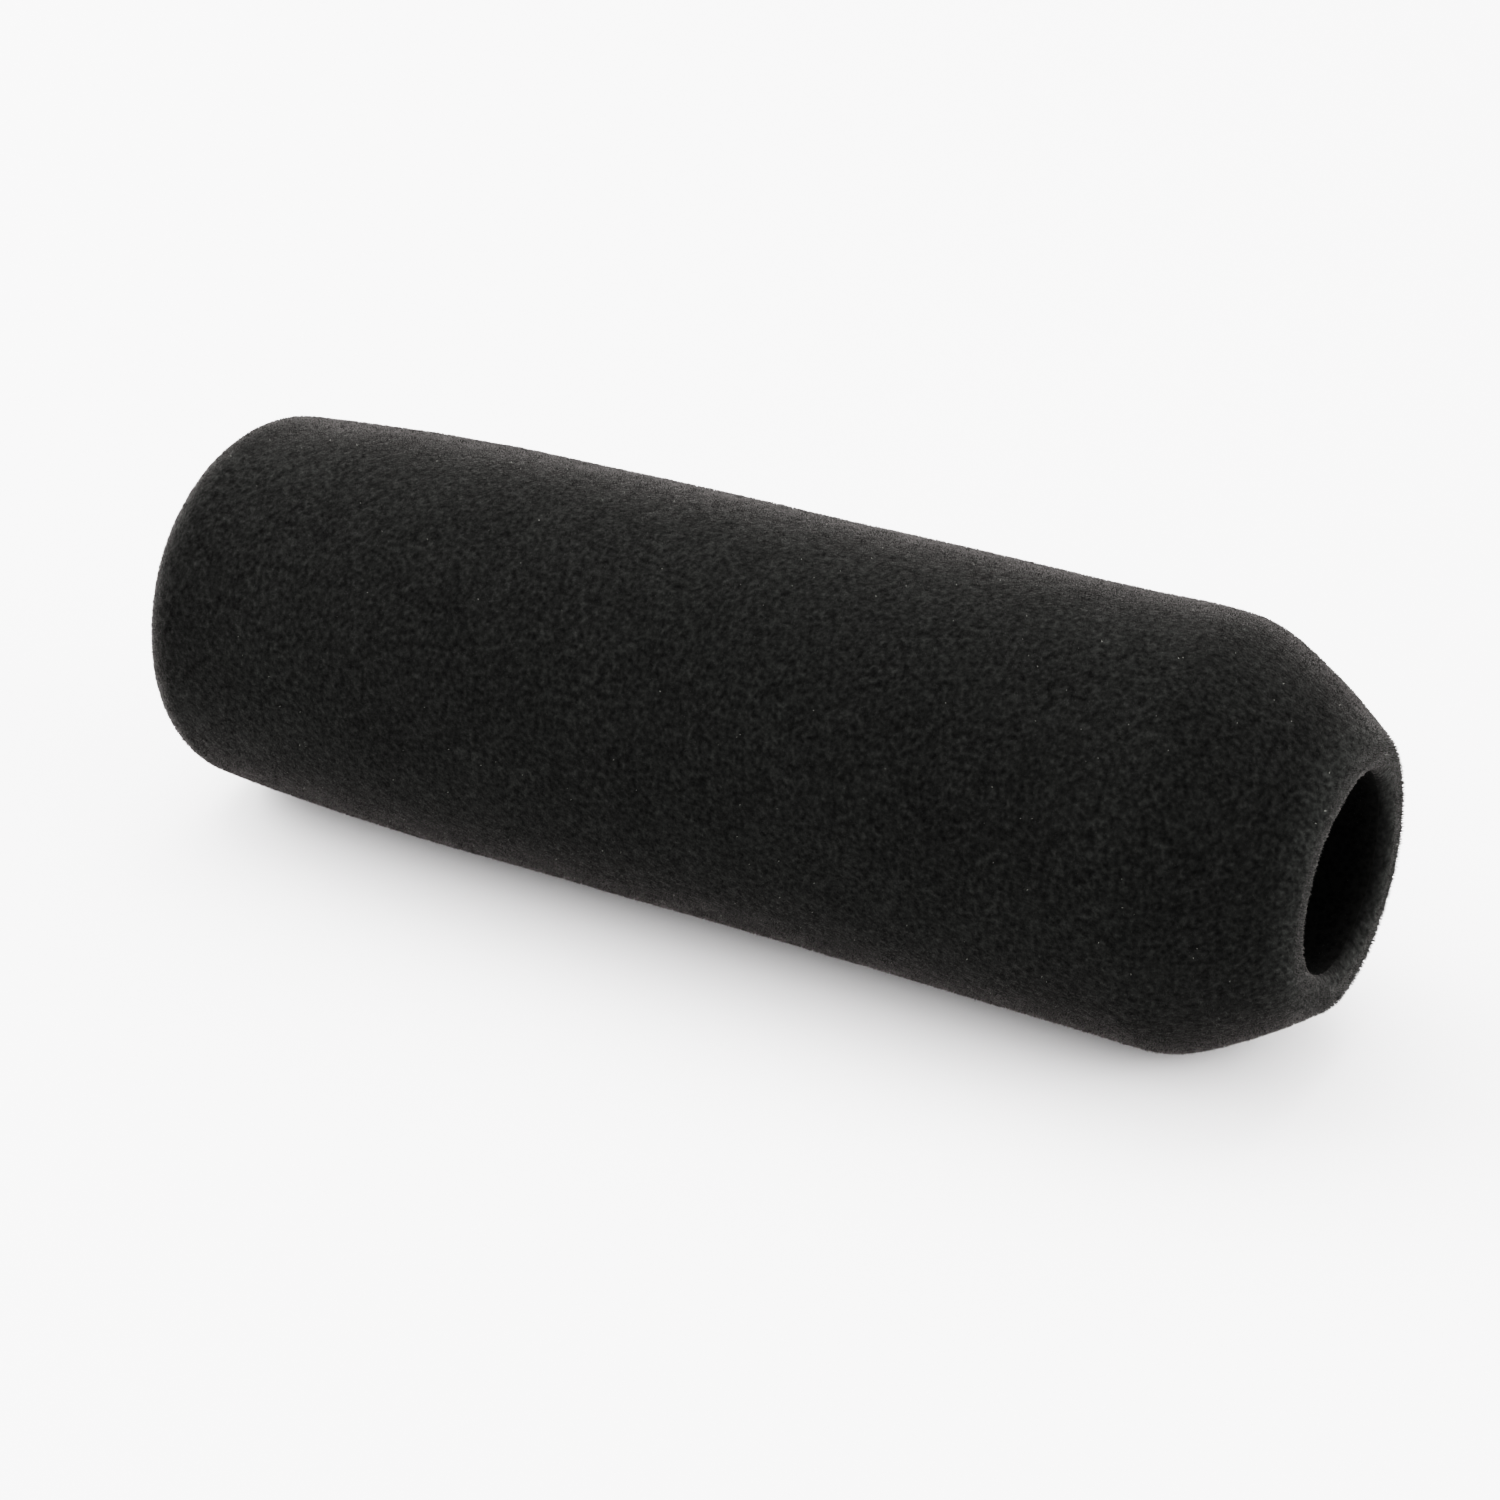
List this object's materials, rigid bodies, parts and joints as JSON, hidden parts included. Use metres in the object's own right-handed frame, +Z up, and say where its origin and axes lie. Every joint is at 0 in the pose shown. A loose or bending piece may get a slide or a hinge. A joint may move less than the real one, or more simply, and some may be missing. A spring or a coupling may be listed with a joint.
{
  "type": "foam microphone windscreen",
  "caption": "Slip-on foam windscreen for a camera microphone: a long rounded barrel with a tapered rear lip, a blind bore for the mic tube and a short velvet-like flocked surface.",
  "frame": {"origin": "centre of the microphone bore where its straight wall begins, just inside the rear lip", "axes": "+X along the bore axis, pointing out of its open mouth; +Z up with the windscreen lying on its side; the body is round about X"},
  "size_m": [0.1285, 0.042, 0.042],
  "materials": {
    "foam": "open-cell, matt black",
    "adhesive": "flexible film, matt black",
    "flock": "short upright nylon pile, matt black with a soft sheen at grazing angles"
  },
  "bodies": {
    "root": {"foam_body": "foam", "flock_adhesive": "adhesive", "flock_pile": "flock"}
  },
  "joints": []
}
